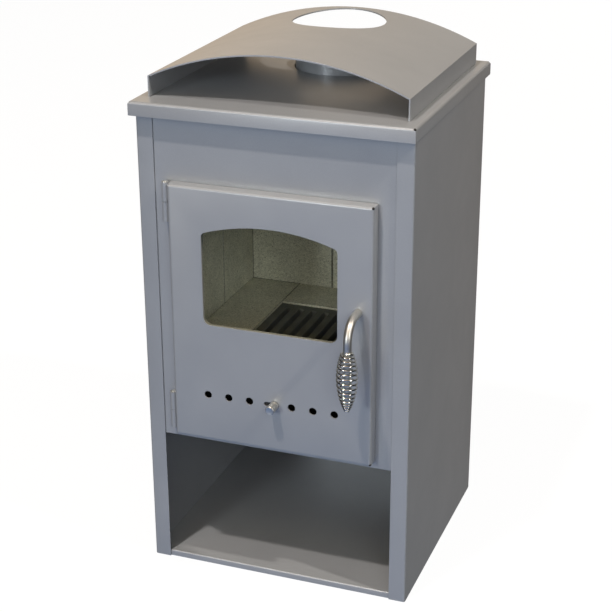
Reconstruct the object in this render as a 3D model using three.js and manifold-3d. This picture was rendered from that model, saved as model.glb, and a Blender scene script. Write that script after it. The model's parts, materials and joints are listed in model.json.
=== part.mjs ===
// Small wood burning stove with a log store, a windowed door and a curved warming cover.
// Millimetres, +Z up. The origin is the centre of the casing's footprint, on the floor.
// The door faces -Y, and its hinges are on the -X side.
import * as THREE from 'three';
import { mergeVertices } from 'three/addons/utils/BufferGeometryUtils.js';
import Module from 'manifold-3d';

const wasm = await Module();
wasm.setup();

// ---- driving dimensions -------------------------------------------------------------------
const GAP = 0.3; // between pieces that touch
const SHEET = 2; // casing sheet
const PLATE = 3; // firebox plate

const CASING = { width: 400, depth: 366, height: 715.7, flange: 25, rearFlange: 15, bend: 3 };
const FRONT = -CASING.depth / 2;
const BACK = CASING.depth / 2;
const SIDE = CASING.width / 2;

const TOP = { bottom: 698, height: 20, side: 4.2, front: 14.5, back: 10.7, edge: 4.5 };
const TOP_FACE = TOP.bottom + TOP.height;
const COVER = { halfWidth: 186.8, front: -166.9, back: 172.1, flange: 29.6, rise: 41.4, hole: 68.9 };
const FLUE = { y: 93, radius: 64.8, wall: 2.5, top: TOP_FACE + 18, footRadius: 78, foot: 3 };

const STORE = { floor: 9.8, ceiling: 211.6, sheet: 1.5 };
const PANEL = { face: FRONT + SHEET + 0.4, halfWidth: 188 };
const PANEL_BACK = PANEL.face + PLATE;
const MOUTH = { halfWidth: 136.5, bottom: 238, top: 591.5, corner: 8 };

const FIREBOX = { inner: 173.6, back: 163, top: 684, floor: 235 };
const HEARTH = { top: 333, plate: 4, brick: 25 };
const PLATE_FRONT = PANEL_BACK + GAP; // where the firebox plates start, behind the front panel
const BRICKS = { inner: 148.5, front: -158, back: 103.3, split: -12, backSplit: -14.3, top: 600 };
const GRATE = { halfWidth: 68, front: -115, back: 25, top: 355, slots: 6, pitch: 20, slot: 8.5, rim: 15 };
const BAFFLE = { front: -95, back: 127, thickness: 22 };
const ASH_PAN = { halfWidth: 125, front: -165, back: 75, height: 80, sheet: 1.5 };

const DOOR_FACE = FRONT - 16.6;
const DOOR = { left: -149.4, right: 150.6, bottom: 223, top: 606.6, face: DOOR_FACE, depth: 17.4, edge: 4 };
const DOOR_INSIDE = DOOR_FACE + SHEET + GAP; // where things start that lie on the skin's inner face
const WINDOW = { halfWidth: 100, bottom: 404, crown: 558, rise: 17.5, lower: 11, upper: 7 };
const GLASS = { halfWidth: 110, bottom: 393, top: 569, thickness: 4 };
const GASKET = 5.8;
const ROPE = { halfWidth: 146.4, bottom: 228.2, top: 601.4, width: 7.4, front: -195.5, back: -181.2 };
const LINER = { sheet: 1.5, flange: 7, back: -186 };

const AIR = { z: 295.3, pitch: 32, hole: 5.8, travel: 13, stem: 2.8, slot: 3.4 };
const KNOB_X = AIR.travel / 2; // the open end of the slot
const SLIDE = { halfWidth: 110, halfHeight: 14, thickness: 2 };
const KNOB = { radius: 6.6, length: 19.4, chamfer: 0.9 };

const HINGE = { x: -156.2, y: -189, radius: 5, pin: 3, bore: 3.45, length: 58, tops: [607, 287] };
const HANDLE = { x: 130, z: 455, reach: 45, bend: 29, rod: 6, spindle: 5, bottom: 342 };
const GRIP = { top: 417, bottom: 326.5, wire: 2.8 };
const BUSH = { inner: 5.35, outer: 6.9, back: -184 };
const CAM = { front: -172.9, thickness: 5, reach: 14, halfWidth: 5, hub: 9 };
const KEEPER = { thickness: 4, halfHeight: 28, notch: 9, clearance: 3.2, right: 160 };

// ---- materials ------------------------------------------------------------------------------
function finish(color, roughness, metalness) {
  return new THREE.MeshStandardMaterial({ color, roughness, metalness });
}

const GREY_PAINT = finish(0x8b9099, 0.42, 0.35);
const INNER_STEEL = finish(0x4a4a48, 0.7, 0.6);
const VERMICULITE = finish(0x78765f, 0.95, 0);
const CAST_IRON = finish(0x30302e, 0.75, 0.5);
const BRIGHT_STEEL = finish(0xaaa8a4, 0.3, 0.9);
const SPRING_STEEL = finish(0xc9c8c2, 0.2, 1);
const FIBRE = finish(0xb9b5a4, 1, 0);
const ROPE_FIBRE = finish(0x3b3a38, 1, 0);
const GLASS_CERAMIC = finish(0xdfe3df, 0.05, 0);
GLASS_CERAMIC.transparent = true;
GLASS_CERAMIC.opacity = 0.3;

// ---- solids -----------------------------------------------------------------------------------
function closed(geometry) {
  const bare = geometry.clone();
  bare.deleteAttribute('normal');
  bare.deleteAttribute('uv');
  const merged = mergeVertices(bare, 1e-4);
  return new wasm.Manifold(new wasm.Mesh({
    numProp: 3,
    vertProperties: new Float32Array(merged.attributes.position.array),
    triVerts: new Uint32Array(merged.index.array),
  }));
}

function geometryOf(manifold) {
  const mesh = manifold.getMesh();
  const indexed = new THREE.BufferGeometry();
  indexed.setAttribute('position', new THREE.BufferAttribute(mesh.vertProperties, 3));
  indexed.setIndex(new THREE.BufferAttribute(mesh.triVerts, 1));
  const flat = indexed.toNonIndexed();
  flat.computeVertexNormals();
  return flat;
}

const cut = (base, ...tools) =>
  geometryOf(tools.reduce((left, tool) => left.subtract(closed(tool)), closed(base)));
const join = (...pieces) =>
  geometryOf(pieces.slice(1).reduce((sum, piece) => sum.add(closed(piece)), closed(pieces[0])));

function block(x0, x1, y0, y1, z0, z1) {
  const box = new THREE.BoxGeometry(x1 - x0, y1 - y0, z1 - z0);
  return box.translate((x0 + x1) / 2, (y0 + y1) / 2, (z0 + z1) / 2);
}

const at = (x, y) => new THREE.Vector2(x, y);
const at3 = (x, y, z) => new THREE.Vector3(x, y, z);

function arc(x, y, radius, from, to, steps) {
  const points = [];
  for (let i = 0; i <= steps; i += 1) {
    const angle = from + ((to - from) * i) / steps;
    points.push(at(x + radius * Math.cos(angle), y + radius * Math.sin(angle)));
  }
  return points;
}

const circle = (x, y, radius, steps) => arc(x, y, radius, 0, 2 * Math.PI, steps).slice(0, -1);
const rectangle = (x0, x1, y0, y1) => [at(x0, y0), at(x1, y0), at(x1, y1), at(x0, y1)];

function roundedRectangle(x0, x1, y0, y1, radius, steps = 3) {
  const quarter = Math.PI / 2;
  return [
    ...arc(x1 - radius, y0 + radius, radius, -quarter, 0, steps),
    ...arc(x1 - radius, y1 - radius, radius, 0, quarter, steps),
    ...arc(x0 + radius, y1 - radius, radius, quarter, 2 * quarter, steps),
    ...arc(x0 + radius, y0 + radius, radius, 2 * quarter, 3 * quarter, steps),
  ];
}

function extruded(outline, from, to, holes = []) {
  const shape = new THREE.Shape(outline);
  holes.forEach((hole) => shape.holes.push(new THREE.Path(hole)));
  const solid = new THREE.ExtrudeGeometry(shape, { depth: to - from, bevelEnabled: false });
  return solid.translate(0, 0, from);
}

// An outline in x and y, drawn out along Z.
const alongZ = extruded;

// An outline in x and z, drawn out along Y.
function alongY(outline, from, to, holes = []) {
  return extruded(outline, -to, -from, holes).rotateX(Math.PI / 2);
}

// An outline in y and z, drawn out along X.
function alongX(outline, from, to, holes = []) {
  const turn = new THREE.Matrix4().makeBasis(at3(0, 1, 0), at3(0, 0, 1), at3(1, 0, 0));
  return extruded(outline, from, to, holes).applyMatrix4(turn);
}

// A solid of revolution about Y. The profile gives radius and place along Y, and a ring's closes on itself.
function aboutY(profile, sides, isRing = false) {
  const points = isRing ? [...profile, profile[0]] : profile;
  return new THREE.LatheGeometry(points, sides);
}

const aboutZ = (profile, sides, isRing) => aboutY(profile, sides, isRing).rotateX(Math.PI / 2);
const cylinderProfile = (radius, from, to) => [at(0, from), at(radius, from), at(radius, to), at(0, to)];
const ringProfile = (inner, outer, from, to) => rectangle(inner, outer, from, to);

// A closed skin over a row of convex rings of 3D points, which run anticlockwise about the way they advance.
function lofted(rings) {
  const count = rings[0].length;
  const faces = [];
  for (let level = 0; level + 1 < rings.length; level += 1) {
    for (let i = 0; i < count; i += 1) {
      const next = (i + 1) % count;
      const [a, b] = [rings[level][i], rings[level][next]];
      const [c, d] = [rings[level + 1][next], rings[level + 1][i]];
      faces.push(a, b, c, a, c, d);
    }
  }
  const last = rings[rings.length - 1];
  for (let i = 1; i + 1 < count; i += 1) {
    faces.push(rings[0][0], rings[0][i + 1], rings[0][i]);
    faces.push(last[0], last[i], last[i + 1]);
  }
  return new THREE.BufferGeometry().setFromPoints(faces);
}

// A straight-sided slab from z = 0 up to its depth, whose upper edge is rounded.
function softSlab(x0, x1, y0, y1, depth, edge, corner = 1) {
  const steps = 4;
  const levels = [{ z: 0, inset: 0 }];
  for (let i = 0; i <= steps; i += 1) {
    const angle = (i / steps) * (Math.PI / 2);
    levels.push({ z: depth - edge + edge * Math.sin(angle), inset: edge * (1 - Math.cos(angle)) });
  }
  return lofted(levels.map(({ z, inset }) => {
    const outline = roundedRectangle(x0 + inset, x1 - inset, y0 + inset, y1 - inset, corner, 2);
    return outline.map((p) => at3(p.x, p.y, z));
  }));
}

// ---- casing -------------------------------------------------------------------------------------
const stove = new THREE.Group();

function add(name, geometry, material) {
  const mesh = new THREE.Mesh(geometry, material);
  mesh.name = name;
  stove.add(mesh);
}

// Folded side sheet: a front flange, the side and a rear flange, with rounded bends.
function sidePanel(sign) {
  const quarter = Math.PI / 2;
  const outer = CASING.bend;
  const inner = CASING.bend - SHEET;
  const outline = [
    at(SIDE - CASING.flange, FRONT),
    ...arc(SIDE - outer, FRONT + outer, outer, -quarter, 0, 4),
    ...arc(SIDE - outer, BACK - outer, outer, 0, quarter, 4),
    at(SIDE - CASING.rearFlange, BACK),
    at(SIDE - CASING.rearFlange, BACK - SHEET),
    ...arc(SIDE - outer, BACK - outer, inner, quarter, 0, 2),
    ...arc(SIDE - outer, FRONT + outer, inner, 0, -quarter, 2),
    at(SIDE - CASING.flange, FRONT + SHEET),
  ];
  const placed = sign > 0 ? outline : outline.map((p) => at(-p.x, p.y)).reverse();
  return alongZ(placed, 0, CASING.height);
}

function frontPanel() {
  const sheet = alongY(
    rectangle(-PANEL.halfWidth, PANEL.halfWidth, STORE.ceiling, CASING.height), PANEL.face, PANEL_BACK,
    [roundedRectangle(-MOUTH.halfWidth, MOUTH.halfWidth, MOUTH.bottom, MOUTH.top, MOUTH.corner)],
  );
  return cut(sheet, keeperNotch());
}

// The slot beside the mouth that lets the latch cam in and out.
function keeperNotch() {
  const right = HANDLE.x + CAM.reach + KEEPER.clearance;
  const [low, high] = [HANDLE.z - KEEPER.notch, HANDLE.z + KEEPER.notch];
  return block(MOUTH.halfWidth - 1, right, PANEL.face - 5, CAM.front + 5, low, high);
}

function backPanel() {
  const vents = [];
  const [slots, pitch, half, radius] = [11, 26, 18, 3.5];
  [262, 652].forEach((z) => {
    for (let i = 0; i < slots; i += 1) {
      const x = (i - (slots - 1) / 2) * pitch;
      vents.push([
        ...arc(x, z + half, radius, 0, Math.PI, 4),
        ...arc(x, z - half, radius, Math.PI, 2 * Math.PI, 4),
      ]);
    }
  });
  const outline = rectangle(-SIDE + SHEET + GAP, SIDE - SHEET - GAP, STORE.sheet, CASING.height);
  return alongY(outline, BACK - 2 * SHEET - GAP, BACK - SHEET - GAP, vents);
}

// Top plate: a folded tray, turned over, with a hole for the flue and relief holes at the corners.
function topPlate() {
  const [x, y0, y1] = [SIDE + TOP.side, FRONT - TOP.front, BACK + TOP.back];
  const shell = softSlab(-x, x, y0, y1, TOP.height, TOP.edge).translate(0, 0, TOP.bottom);
  const inside = softSlab(
    -x + SHEET, x - SHEET, y0 + SHEET, y1 - SHEET, TOP.height - SHEET + 1, TOP.edge - SHEET,
  ).translate(0, 0, TOP.bottom - 1);
  const flueHole = aboutZ(cylinderProfile(FLUE.radius + 1.8, TOP.bottom, TOP_FACE + 1), 48);
  const relief = 2.1;
  const reliefs = [[-x, y0], [x, y0], [x, y1], [-x, y1]].map(([cornerX, cornerY]) =>
    new THREE.SphereGeometry(relief, 10, 8).translate(
      cornerX - Math.sign(cornerX) * 1.6, cornerY - Math.sign(cornerY) * 1.6, TOP_FACE - 1.6));
  return cut(shell, inside, flueHole.translate(0, FLUE.y, 0), ...reliefs);
}

// Curved warming cover: an arched sheet on two upright flanges, with a hole over the flue.
function warmingCover() {
  const { halfWidth, rise, flange } = COVER;
  const [low, spring] = [TOP_FACE + GAP, TOP_FACE + flange];
  const radius = (halfWidth ** 2 + rise ** 2) / (2 * rise);
  const centre = spring + rise - radius;
  const start = Math.atan2(spring - centre, halfWidth);
  const steps = 28;
  const outer = arc(0, centre, radius, start, Math.PI - start, steps);
  const inner = arc(0, centre, radius - SHEET, Math.PI - start, start, steps)
    .filter((p) => Math.abs(p.x) < halfWidth - SHEET);
  const innerSpring = Math.sqrt((radius - SHEET) ** 2 - (halfWidth - SHEET) ** 2) + centre;
  const innerWidth = halfWidth - SHEET;
  const outline = [
    at(halfWidth, low), ...outer, at(-halfWidth, low), at(-innerWidth, low),
    at(-innerWidth, innerSpring), ...inner, at(innerWidth, innerSpring), at(innerWidth, low),
  ];
  const sheet = alongY(outline, COVER.front, COVER.back);
  const hole = aboutZ(cylinderProfile(COVER.hole, 0, 2 * rise), 44).translate(0, FLUE.y - 1, spring);
  return cut(sheet, hole);
}

// Flue collar: a short spigot with a flat foot, standing on the firebox.
function flueCollar() {
  const foot = FIREBOX.top + PLATE + GAP;
  const [inner, outer] = [FLUE.radius - FLUE.wall, FLUE.radius];
  const profile = [
    at(inner, foot), at(FLUE.footRadius, foot), at(FLUE.footRadius, foot + FLUE.foot),
    at(outer, foot + FLUE.foot), at(outer, FLUE.top), at(inner, FLUE.top),
  ];
  return aboutZ(profile, 48, true).translate(0, FLUE.y, 0);
}

// ---- log store ------------------------------------------------------------------------------------
// Folded floor tray: its front and rear edges turn down, and their feet turn in along the floor.
function storeFloor() {
  const { floor, sheet } = STORE;
  const [front, back, foot, bend] = [PANEL.face, BACK - 2 * SHEET - 2 * GAP, 12, 2];
  const quarter = Math.PI / 2;
  const outline = [
    at(front + foot, 0), at(front + foot, sheet), at(front + sheet, sheet), at(front + sheet, floor - sheet),
    at(back - sheet, floor - sheet), at(back - sheet, sheet), at(back - foot, sheet), at(back - foot, 0),
    at(back, 0), ...arc(back - bend, floor - bend, bend, 0, quarter, 3),
    ...arc(front + bend, floor - bend, bend, quarter, 2 * quarter, 3), at(front, 0),
  ];
  return alongX(outline, -SIDE + SHEET + GAP, SIDE - SHEET - GAP);
}

// A shallow hat section under the tray, which stops it sagging and stands on the floor.
function storeStiffener() {
  const { floor, sheet } = STORE;
  const [half, wing, top] = [30, 14, floor - sheet - GAP];
  const outline = [
    at(-half, 0), at(half, 0), at(half, top - sheet), at(half + wing, top - sheet), at(half + wing, top),
    at(half - sheet, top), at(half - sheet, sheet), at(-half + sheet, sheet), at(-half + sheet, top),
    at(-half - wing, top), at(-half - wing, top - sheet), at(-half, top - sheet),
  ];
  return alongY(outline, FRONT + 20, BACK - 22);
}

function storeCeiling() {
  const { ceiling, sheet } = STORE;
  const half = SIDE - SHEET - GAP;
  return block(-half, half, PLATE_FRONT, BACK - 2 * SHEET - 2 * GAP, ceiling, ceiling + sheet);
}

// ---- firebox ----------------------------------------------------------------------------------------
function fireboxSide(sign) {
  const [near, far] = [FIREBOX.inner, FIREBOX.inner + PLATE];
  const [x0, x1] = sign > 0 ? [near, far] : [-far, -near];
  return block(x0, x1, PLATE_FRONT, FIREBOX.back + PLATE, FIREBOX.floor, FIREBOX.top - GAP);
}

function fireboxBack() {
  const half = FIREBOX.inner - GAP;
  return block(-half, half, FIREBOX.back, FIREBOX.back + PLATE, FIREBOX.floor, FIREBOX.top - GAP);
}

function fireboxTop() {
  const half = FIREBOX.inner + PLATE;
  const outline = rectangle(-half, half, PLATE_FRONT, FIREBOX.back + PLATE);
  const hole = circle(0, FLUE.y, FLUE.radius - FLUE.wall, 48);
  return alongZ(outline, FIREBOX.top, FIREBOX.top + PLATE, [hole]);
}

function innerFloor(z0, z1, holes = []) {
  const half = FIREBOX.inner - GAP;
  return alongZ(rectangle(-half, half, PLATE_FRONT, FIREBOX.back - GAP), z0, z1, holes);
}

function hearthPlate() {
  const ledge = 8;
  const opening = rectangle(
    -GRATE.halfWidth + ledge, GRATE.halfWidth - ledge, GRATE.front + ledge, GRATE.back - ledge);
  return innerFloor(HEARTH.top - HEARTH.plate, HEARTH.top, [opening]);
}

// Cast grate with straight slots that run from front to back.
function fireGrate() {
  const slots = [];
  for (let i = 0; i < GRATE.slots; i += 1) {
    const x = (i - (GRATE.slots - 1) / 2) * GRATE.pitch;
    slots.push(roundedRectangle(
      x - GRATE.slot / 2, x + GRATE.slot / 2, GRATE.front + GRATE.rim, GRATE.back - GRATE.rim, 2.5, 2));
  }
  const half = GRATE.halfWidth - GAP;
  const outline = rectangle(-half, half, GRATE.front + GAP, GRATE.back - GAP);
  return alongZ(outline, HEARTH.top + GAP, GRATE.top, slots);
}

function addBricks() {
  const { inner, front, back, split, backSplit, top } = BRICKS;
  const [low, floorTop] = [HEARTH.top + GAP, HEARTH.top + HEARTH.brick];
  const [near, far] = [inner + GAP, FIREBOX.inner - GAP];
  const joint = 0.35;
  const brick = (name, ...bounds) => add(name, block(...bounds), VERMICULITE);
  brick('brick_left_front', -far, -near, front, split - joint, low, top);
  brick('brick_left_rear', -far, -near, split + joint, back + HEARTH.brick, low, top);
  brick('brick_right_front', near, far, front, split - joint, low, top);
  brick('brick_right_rear', near, far, split + joint, back + HEARTH.brick, low, top);
  brick('brick_back_left', -inner, backSplit - joint, back, back + HEARTH.brick, low, top);
  brick('brick_back_right', backSplit + joint, inner, back, back + HEARTH.brick, low, top);
  brick('brick_floor_left', -inner, -GRATE.halfWidth - joint, front, back - GAP, low, floorTop);
  brick('brick_floor_right', GRATE.halfWidth + joint, inner, front, back - GAP, low, floorTop);
  brick('brick_floor_rear', -GRATE.halfWidth, GRATE.halfWidth, GRATE.back + joint, back - GAP, low, floorTop);
  brick('brick_floor_front', -GRATE.halfWidth, GRATE.halfWidth, front, GRATE.front - joint, low, floorTop);
  brick('smoke_baffle', -far, far, BAFFLE.front, BAFFLE.back, top + GAP, top + GAP + BAFFLE.thickness);
}

function ashPan() {
  const { halfWidth, front, back, height, sheet } = ASH_PAN;
  const low = FIREBOX.floor + PLATE + GAP;
  const outside = block(-halfWidth, halfWidth, front, back, low, low + height);
  const inside = block(
    -halfWidth + sheet, halfWidth - sheet, front + sheet, back - sheet, low + sheet, low + height + 1);
  return cut(outside, inside);
}

// A bent strap on the front of the ash pan, open behind for the fingers or a lifting tool.
function ashPanHandle() {
  const [half, reach, sheet, z, tall] = [35, 7, 1.5, 282, 14];
  const y = ASH_PAN.front - GAP;
  const outline = [
    at(-half - 12, y), at(-half - 12, y - sheet), at(-half, y - sheet), at(-half + 4, y - reach),
    at(half - 4, y - reach), at(half, y - sheet), at(half + 12, y - sheet), at(half + 12, y),
    at(half - 1.5, y), at(half - 5, y - reach + sheet), at(-half + 5, y - reach + sheet), at(-half + 1.5, y),
  ].reverse();
  return alongZ(outline, z, z + tall);
}

function latchKeeper() {
  const back = PANEL_BACK + GAP;
  const plate = block(
    MOUTH.halfWidth, KEEPER.right, back, back + KEEPER.thickness,
    HANDLE.z - KEEPER.halfHeight, HANDLE.z + KEEPER.halfHeight);
  return cut(plate, keeperNotch());
}

// ---- door -------------------------------------------------------------------------------------------
// The arched window outline, with small rounds where the arch meets the sides.
function windowOutline(grow = 0) {
  const half = WINDOW.halfWidth + grow;
  const [low, lower, upper] = [WINDOW.bottom - grow, WINDOW.lower + grow, WINDOW.upper + grow];
  const radius = (WINDOW.halfWidth ** 2 + WINDOW.rise ** 2) / (2 * WINDOW.rise) + grow;
  const centre = WINDOW.crown + grow - radius;
  const roundX = half - upper;
  const roundZ = centre + Math.sqrt((radius - upper) ** 2 - roundX ** 2);
  const turn = Math.atan2(roundZ - centre, roundX);
  const quarter = Math.PI / 2;
  return [
    ...arc(half - lower, low + lower, lower, -quarter, 0, 4),
    ...arc(roundX, roundZ, upper, 0, turn, 3),
    ...arc(0, centre, radius, turn, Math.PI - turn, 14).slice(1, -1),
    ...arc(-roundX, roundZ, upper, Math.PI - turn, Math.PI, 3),
    ...arc(-half + lower, low + lower, lower, Math.PI, 3 * quarter, 4),
  ];
}

const airHoles = () => [-3, -2, -1, 1, 2, 3].map((i) => i * AIR.pitch);

// The slot that the knob's stem slides in.
function airSlot() {
  const quarter = Math.PI / 2;
  return [
    ...arc(KNOB_X, AIR.z, AIR.slot, -quarter, quarter, 4),
    ...arc(-KNOB_X, AIR.z, AIR.slot, quarter, 3 * quarter, 4),
  ];
}

// Door skin: a sheet tray, folded back all round, with the window, the air holes and the knob's slot.
function doorSkin() {
  const { left, right, bottom, top, face, depth, edge } = DOOR;
  const back = face + depth;
  // The slab is drawn with its face up, so +Y there is -Z once it is stood up.
  const stand = (slab, y) => slab.rotateX(Math.PI / 2).translate(0, y, 0);
  const shell = stand(softSlab(left, right, bottom, top, depth, edge), back);
  const inside = stand(softSlab(
    left + SHEET, right - SHEET, bottom + SHEET, top - SHEET, depth - SHEET + 1, edge - SHEET), back + 1);
  const [y0, y1] = [face - 1, face + SHEET + 1];
  const holes = airHoles().map((x) => alongY(circle(x, AIR.z, AIR.hole, 16), y0, y1));
  const slot = alongY(airSlot(), y0, y1);
  const spindle = alongY(circle(HANDLE.x, HANDLE.z, HANDLE.spindle + 0.4, 20), y0, y1);
  const relief = 1.9;
  const reliefs = [[left, bottom], [right, bottom], [right, top], [left, top]].map(([x, z]) =>
    new THREE.SphereGeometry(relief, 10, 8).translate(
      x + (x < 0 ? 1.3 : -1.3), face + 1.3, z + (z === bottom ? 1.3 : -1.3)));
  return cut(shell, inside, alongY(windowOutline(), y0, y1), ...holes, slot, spindle, ...reliefs);
}

const frameOutline = (inset, radius) => roundedRectangle(
  -ROPE.halfWidth + inset, ROPE.halfWidth - inset, ROPE.bottom + inset, ROPE.top - inset, radius);

const ropeSeal = () =>
  alongY(frameOutline(0, 10), ROPE.front, ROPE.back, [frameOutline(ROPE.width, 3)]);

// The angle strip inside the door that holds the rope against the folded edge.
function doorLiner() {
  const near = ROPE.width + GAP;
  const wall = alongY(
    frameOutline(near, 3), DOOR_INSIDE, LINER.back, [frameOutline(near + LINER.sheet, 2)]);
  const flange = alongY(
    frameOutline(near, 3), DOOR_INSIDE, DOOR_INSIDE + LINER.sheet, [frameOutline(near + LINER.flange, 2)]);
  const seat = aboutY(cylinderProfile(BUSH.outer + 0.25, DOOR_INSIDE - 1, DOOR_INSIDE + 3), 20);
  return cut(join(wall, flange), seat.translate(HANDLE.x, 0, HANDLE.z));
}

const gasket = () =>
  alongY(roundedRectangle(-GLASS.halfWidth, GLASS.halfWidth, GLASS.bottom, GLASS.top, 4), DOOR_INSIDE,
    DOOR_INSIDE + GASKET, [windowOutline(0.4)]);

const GLASS_FRONT = DOOR_INSIDE + GASKET + GAP;
const RETAINER_FRONT = GLASS_FRONT + GLASS.thickness + GAP;

function windowGlass() {
  const { halfWidth, bottom, top, thickness } = GLASS;
  return block(-halfWidth, halfWidth, GLASS_FRONT, GLASS_FRONT + thickness, bottom, top);
}

// A strip over the glass edge and its two screws. The sign is +1 above the glass and -1 below it.
function addRetainer(name, edge, sign) {
  const sheet = 1.5;
  const screwX = 82;
  const screwZ = edge + sign * 7;
  const [low, high] = sign > 0 ? [edge - 6, edge + 13] : [edge - 13, edge + 6];
  const holes = [-screwX, screwX].map((x) => circle(x, screwZ, 2.4, 12));
  const outline = roundedRectangle(-104, 104, low, high, 3);
  const strip = alongY(outline, RETAINER_FRONT, RETAINER_FRONT + sheet, holes);
  add(`glass_retainer_${name}`, strip, INNER_STEEL);
  const [seat, tip] = [RETAINER_FRONT + sheet + GAP, DOOR_INSIDE + 0.4];
  [-screwX, screwX].forEach((x) => {
    const side = x < 0 ? 'left' : 'right';
    const profile = [at(0, tip), at(2, tip), at(2, seat), at(4, seat), at(3.6, seat + 1.7), at(0, seat + 2)];
    add(`glass_screw_${name}_${side}`, aboutY(profile, 12).translate(x, 0, screwZ), BRIGHT_STEEL);
  });
}

// ---- air control --------------------------------------------------------------------------------------
// A flat slide behind the door skin, with holes that line up with the skin's when the knob is to the right.
function airSlidePlate() {
  const { halfWidth, halfHeight, thickness } = SLIDE;
  const holes = airHoles().map((x) => circle(x, AIR.z, AIR.hole + 0.3, 16));
  holes.push(circle(KNOB_X, AIR.z, AIR.stem + 0.3, 12));
  return alongY(
    rectangle(-halfWidth, halfWidth, AIR.z - halfHeight, AIR.z + halfHeight),
    DOOR_INSIDE, DOOR_INSIDE + thickness, holes);
}

// A Z strip that holds one long edge of the slide. The sign is +1 above the slide and -1 below it.
function airSlideGuide(sign) {
  const [edge, outer, lip] = [SLIDE.halfHeight + 0.4, SLIDE.halfHeight + 7, SLIDE.halfHeight - 6];
  const y0 = DOOR_INSIDE;
  const y1 = y0 + SLIDE.thickness + GAP;
  const y2 = y1 + 1.5;
  const outline = [at(y0, edge), at(y1, edge), at(y1, lip), at(y2, lip), at(y2, outer), at(y0, outer)];
  const placed = outline.map((p) => at(p.x, AIR.z + sign * p.y));
  return alongX(sign > 0 ? placed : placed.reverse(), -118, 118);
}

function airKnob() {
  const end = DOOR.face - KNOB.length - 0.6;
  const shoulder = DOOR.face - 0.6;
  const stemEnd = DOOR_INSIDE + 5;
  const { radius, chamfer } = KNOB;
  const profile = [
    at(0, end), at(radius - chamfer, end), at(radius, end + chamfer), at(radius, shoulder),
    at(AIR.stem, shoulder), at(AIR.stem, stemEnd), at(0, stemEnd),
  ];
  return aboutY(profile, 24).translate(KNOB_X, 0, AIR.z);
}

const hexNut = (across, bore, from, to) => {
  const corner = across / Math.sqrt(3);
  return alongY(circle(0, 0, corner, 6), from, to, [circle(0, 0, bore, 18)]);
};

function airKnobNut() {
  const seat = DOOR_INSIDE + SLIDE.thickness + GAP;
  return hexNut(9, AIR.stem + 0.35, seat, seat + 2.4).translate(KNOB_X, 0, AIR.z);
}

// ---- hinges -------------------------------------------------------------------------------------------
const knuckle = (z0, z1) =>
  aboutZ(ringProfile(HINGE.bore, HINGE.radius, z0, z1), 20, true).translate(HINGE.x, HINGE.y, 0);

// Each hinge is a lower knuckle on the frame, an upper one on the door, and a headed pin between them.
function addHinge(name, top) {
  const [low, middle] = [top - HINGE.length, top - HINGE.length / 2];
  const inner = HINGE.radius - 0.9;
  const frameTab = block(
    HINGE.x - 2, HINGE.x + 2, HINGE.y + inner, PANEL.face - GAP, low + 2, middle - 2);
  const doorTab = block(
    HINGE.x + inner, DOOR.left - GAP, HINGE.y - 2, HINGE.y + 2, middle + 2, top - 3);
  add(`hinge_${name}_frame_knuckle`, join(knuckle(low, middle - GAP), frameTab), GREY_PAINT);
  add(`hinge_${name}_door_knuckle`, join(knuckle(middle + GAP, top - 1), doorTab), GREY_PAINT);
  const head = top - 1 + GAP;
  const profile = [
    at(0, low + 2), at(HINGE.pin, low + 2), at(HINGE.pin, head),
    at(4.2, head), at(3.9, head + 1), at(0, head + 1.6),
  ];
  add(`hinge_${name}_pin`, aboutZ(profile, 20).translate(HINGE.x, HINGE.y, 0), BRIGHT_STEEL);
}

// ---- handle -------------------------------------------------------------------------------------------
// A round rod out of the door, bent down in front of it, with a thinner spindle through the door.
function handleRod() {
  const { x, z, reach, bend, rod, spindle, bottom } = HANDLE;
  const shoulder = DOOR.face - GAP;
  const bendY = DOOR.face - reach + bend;
  const stations = [{ y: shoulder, z, turn: 0 }];
  const steps = 8;
  for (let i = 0; i <= steps; i += 1) {
    const turn = (i / steps) * (Math.PI / 2);
    stations.push({ y: bendY - bend * Math.sin(turn), z: z - bend + bend * Math.cos(turn), turn });
  }
  stations.push({ y: DOOR.face - reach, z: bottom, turn: Math.PI / 2 });
  const section = circle(0, 0, rod, 20);
  const rings = stations.map((station) => section.map((p) => at3(
    x + p.x, station.y - p.y * Math.sin(station.turn), station.z + p.y * Math.cos(station.turn))));
  const shaft = aboutY(cylinderProfile(spindle, shoulder - 1, CAM.front + CAM.thickness + 4), 20);
  return join(lofted(rings), shaft.translate(x, 0, z));
}

// Outer radius of the coiled grip, at a share of the way down it.
const gripRadius = (share) => 7.8 - 4.8 * share + 10 * Math.sin(Math.PI * share) ** 0.7;

// The barrel that the coil fills, hollow round the rod.
function springGrip() {
  const steps = 12;
  const outer = [];
  const inner = [];
  for (let i = 0; i <= steps; i += 1) {
    const share = 0.03 + (0.95 * i) / steps;
    const z = GRIP.top - share * (GRIP.top - GRIP.bottom);
    const clear = z > HANDLE.bottom - 3 ? HANDLE.rod + 0.35 : 1;
    outer.unshift(at(gripRadius(share), z));
    inner.push(at(Math.max(gripRadius(share) - GRIP.wire, clear), z));
  }
  return aboutZ([...outer, ...inner], 24, true).translate(HANDLE.x, DOOR.face - HANDLE.reach, 0);
}

function handleBush() {
  const ring = aboutY(ringProfile(BUSH.inner, BUSH.outer, DOOR_INSIDE, BUSH.back), 24, true);
  return ring.translate(HANDLE.x, 0, HANDLE.z);
}

// The flat cam on the spindle's inner end. It points to the right while the handle hangs down.
function latchCam() {
  const { front, thickness, reach, halfWidth, hub } = CAM;
  const tip = reach - halfWidth;
  const turn = Math.asin(halfWidth / hub);
  const quarter = Math.PI / 2;
  const outline = [
    ...arc(0, 0, hub, turn, 2 * Math.PI - turn, 14),
    ...arc(tip, 0, halfWidth, -quarter, quarter, 6),
  ];
  const hole = circle(0, 0, HANDLE.spindle + 0.35, 18);
  return alongY(outline, front, front + thickness, [hole]).translate(HANDLE.x, 0, HANDLE.z);
}

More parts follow.
